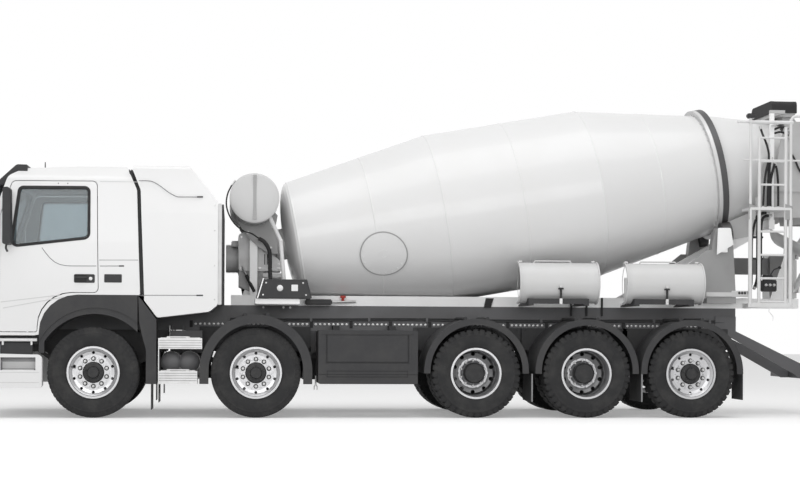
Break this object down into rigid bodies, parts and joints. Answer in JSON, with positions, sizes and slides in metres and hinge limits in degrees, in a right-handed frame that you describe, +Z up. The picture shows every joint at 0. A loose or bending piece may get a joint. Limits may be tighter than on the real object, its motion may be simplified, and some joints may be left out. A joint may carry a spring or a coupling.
{
  "type": "concrete mixer truck",
  "caption": "Heavy multi-axle concrete mixer truck with tilting day cab, battery tower behind it, tilted mixing drum on rollers, feed hopper, ladder and swivelling discharge chute.",
  "frame": {"origin": "on the ground under the middle of the overall length and width", "axes": "+X forward, +Y to the truck's left, +Z up"},
  "size_m": [10.285, 3, 3.885],
  "materials": {
    "tyre": "worn rubber",
    "alloy": "machined",
    "axle_paint": "semi-matt",
    "chassis_paint": "semi-matt",
    "white_paint": "gloss",
    "lamp_glass": "clear",
    "dark_plastic": "grained",
    "aluminium": "brushed",
    "grey_paint": "semi-gloss",
    "black_rubber": "matt",
    "bare_steel": "ground",
    "window_glass": "tinted"
  },
  "bodies": {
    "chassis": {"chassis_frame": "chassis_paint", "suspension": "axle_paint", "driveline": "axle_paint", "front_bumper": "white_paint", "lamps": "lamp_glass", "mudguards": "dark_plastic", "side_boxes": "dark_plastic", "access_steps": "aluminium", "battery_tower": "white_paint", "mixer_subframe": "white_paint", "gearbox": "grey_paint", "water_tank": "white_paint", "wash_panel": "dark_plastic", "stowed_chutes": "white_paint", "ladder": "white_paint", "feed_hopper": "grey_paint", "hopper_lip": "black_rubber"},
    "cab": {"cab_shell": "white_paint", "cab_trim": "dark_plastic", "windscreen": "window_glass", "cab_interior": "dark_plastic"},
    "door_left": {"door_left": "white_paint", "door_glass_left": "window_glass", "mirror_left": "dark_plastic"},
    "door_right": {"door_right": "white_paint", "door_glass_right": "window_glass", "mirror_right": "dark_plastic"},
    "steer_1_left": {"knuckle_1_left": "axle_paint"},
    "steer_1_right": {"knuckle_1_right": "axle_paint"},
    "steer_2_left": {"knuckle_2_left": "axle_paint"},
    "steer_2_right": {"knuckle_2_right": "axle_paint"},
    "steer_5_left": {"knuckle_5_left": "axle_paint"},
    "steer_5_right": {"knuckle_5_right": "axle_paint"},
    "wheel_1_left": {"tyre_1_left": "tyre", "rim_1_left": "alloy"},
    "wheel_1_right": {"tyre_1_right": "tyre", "rim_1_right": "alloy"},
    "wheel_2_left": {"tyre_2_left": "tyre", "rim_2_left": "alloy"},
    "wheel_2_right": {"tyre_2_right": "tyre", "rim_2_right": "alloy"},
    "wheel_3_left": {"tyre_3_left": "tyre", "rim_3_left": "alloy"},
    "wheel_3_right": {"tyre_3_right": "tyre", "rim_3_right": "alloy"},
    "wheel_4_left": {"tyre_4_left": "tyre", "rim_4_left": "alloy"},
    "wheel_4_right": {"tyre_4_right": "tyre", "rim_4_right": "alloy"},
    "wheel_5_left": {"tyre_5_left": "tyre", "rim_5_left": "alloy"},
    "wheel_5_right": {"tyre_5_right": "tyre", "rim_5_right": "alloy"},
    "drum": {"drum_shell": "white_paint"},
    "roller_left": {"roller_left": "bare_steel"},
    "roller_right": {"roller_right": "bare_steel"},
    "chute_swivel": {"chute_swivel": "grey_paint"},
    "chute": {"chute": "white_paint"},
    "jack_barrel": {"jack_barrel": "grey_paint"},
    "jack_rod": {"jack_rod": "bare_steel"}
  },
  "joints": [
    {"name": "cab_tilt", "type": "hinge", "parent": "chassis", "child": "cab", "pos_m": [4.9125, 0, 0.965], "axis": [0, 1, 0], "range_deg": [0, 60]},
    {"name": "door_left_swing", "type": "hinge", "parent": "cab", "child": "door_left", "pos_m": [4.7325, 1.25, 1.7], "axis": [0, 0, -1], "range_deg": [0, 70]},
    {"name": "door_right_swing", "type": "hinge", "parent": "cab", "child": "door_right", "pos_m": [4.7325, -1.25, 1.7], "axis": [0, 0, 1], "range_deg": [0, 70]},
    {"name": "steer_1_left", "type": "hinge", "parent": "chassis", "child": "steer_1_left", "pos_m": [3.6825, 0.85, 0.52], "axis": [0, 0, 1], "range_deg": [-35, 35]},
    {"name": "steer_1_right", "type": "hinge", "parent": "chassis", "child": "steer_1_right", "pos_m": [3.6825, -0.85, 0.52], "axis": [0, 0, 1], "range_deg": [-35, 35]},
    {"name": "steer_2_left", "type": "hinge", "parent": "chassis", "child": "steer_2_left", "pos_m": [1.8325, 0.85, 0.52], "axis": [0, 0, 1], "range_deg": [-27, 27]},
    {"name": "steer_2_right", "type": "hinge", "parent": "chassis", "child": "steer_2_right", "pos_m": [1.8325, -0.85, 0.52], "axis": [0, 0, 1], "range_deg": [-27, 27]},
    {"name": "steer_5_left", "type": "hinge", "parent": "chassis", "child": "steer_5_left", "pos_m": [-3.2975, 0.85, 0.52], "axis": [0, 0, 1], "range_deg": [-18, 18]},
    {"name": "steer_5_right", "type": "hinge", "parent": "chassis", "child": "steer_5_right", "pos_m": [-3.2975, -0.85, 0.52], "axis": [0, 0, 1], "range_deg": [-18, 18]},
    {"name": "spin_1_left", "type": "hinge", "parent": "steer_1_left", "child": "wheel_1_left", "pos_m": [3.6825, 1.03, 0.52], "axis": [0, 1, 0], "continuous": true},
    {"name": "spin_1_right", "type": "hinge", "parent": "steer_1_right", "child": "wheel_1_right", "pos_m": [3.6825, -1.03, 0.52], "axis": [0, 1, 0], "continuous": true},
    {"name": "spin_2_left", "type": "hinge", "parent": "steer_2_left", "child": "wheel_2_left", "pos_m": [1.8325, 1.03, 0.52], "axis": [0, 1, 0], "continuous": true},
    {"name": "spin_2_right", "type": "hinge", "parent": "steer_2_right", "child": "wheel_2_right", "pos_m": [1.8325, -1.03, 0.52], "axis": [0, 1, 0], "continuous": true},
    {"name": "spin_3_left", "type": "hinge", "parent": "chassis", "child": "wheel_3_left", "pos_m": [-0.7275, 0.903, 0.52], "axis": [0, 1, 0], "continuous": true},
    {"name": "spin_3_right", "type": "hinge", "parent": "chassis", "child": "wheel_3_right", "pos_m": [-0.7275, -0.903, 0.52], "axis": [0, 1, 0], "continuous": true},
    {"name": "spin_4_left", "type": "hinge", "parent": "chassis", "child": "wheel_4_left", "pos_m": [-2.0375, 0.903, 0.52], "axis": [0, 1, 0], "continuous": true},
    {"name": "spin_4_right", "type": "hinge", "parent": "chassis", "child": "wheel_4_right", "pos_m": [-2.0375, -0.903, 0.52], "axis": [0, 1, 0], "continuous": true},
    {"name": "spin_5_left", "type": "hinge", "parent": "steer_5_left", "child": "wheel_5_left", "pos_m": [-3.2975, 1.03, 0.52], "axis": [0, 1, 0], "continuous": true},
    {"name": "spin_5_right", "type": "hinge", "parent": "steer_5_right", "child": "wheel_5_right", "pos_m": [-3.2975, -1.03, 0.52], "axis": [0, 1, 0], "continuous": true},
    {"name": "drum_spin", "type": "hinge", "parent": "chassis", "child": "drum", "pos_m": [1.3365, 0, 2.093], "axis": [-0.9848, 0, 0.1736], "continuous": true},
    {"name": "roller_left_spin", "type": "hinge", "parent": "chassis", "child": "roller_left", "pos_m": [-3.9001, 0.53761, 2.23672], "axis": [-0.9848, 0, 0.1736], "continuous": true},
    {"name": "roller_right_spin", "type": "hinge", "parent": "chassis", "child": "roller_right", "pos_m": [-3.9001, -0.53761, 2.23672], "axis": [-0.9848, 0, 0.1736], "continuous": true},
    {"name": "chute_swing", "type": "hinge", "parent": "chassis", "child": "chute_swivel", "pos_m": [-4.9075, 0, 1.6], "axis": [0, 0, 1], "range_deg": [0, 180]},
    {"name": "chute_tilt", "type": "hinge", "parent": "chute_swivel", "child": "chute", "pos_m": [-4.9075, 0, 1.99], "axis": [1, 0, 0], "range_deg": [-10, 12]},
    {"name": "jack_swing", "type": "hinge", "parent": "chute_swivel", "child": "jack_barrel", "pos_m": [-4.9075, 0.17, 1.56], "axis": [1, 0, 0], "range_deg": [-9, 10.5]},
    {"name": "jack_slide", "type": "slide", "parent": "jack_barrel", "child": "jack_rod", "axis": [0, 0.8335, 0.5525], "range_m": [-0.085, 0.1]}
  ],
  "couplings": [
    {"joint": "steer_1_right", "follows": "steer_1_left", "ratio": 1},
    {"joint": "steer_2_left", "follows": "steer_1_left", "ratio": 0.75},
    {"joint": "steer_2_right", "follows": "steer_1_left", "ratio": 0.75},
    {"joint": "steer_5_left", "follows": "steer_1_left", "ratio": -0.5},
    {"joint": "steer_5_right", "follows": "steer_1_left", "ratio": -0.5},
    {"joint": "roller_left_spin", "follows": "drum_spin", "ratio": -6.496},
    {"joint": "roller_right_spin", "follows": "drum_spin", "ratio": -6.496},
    {"joint": "jack_swing", "follows": "chute_tilt", "ratio": 0.8142},
    {"joint": "jack_slide", "follows": "chute_tilt", "m_per_rad": 0.4523}
  ]
}
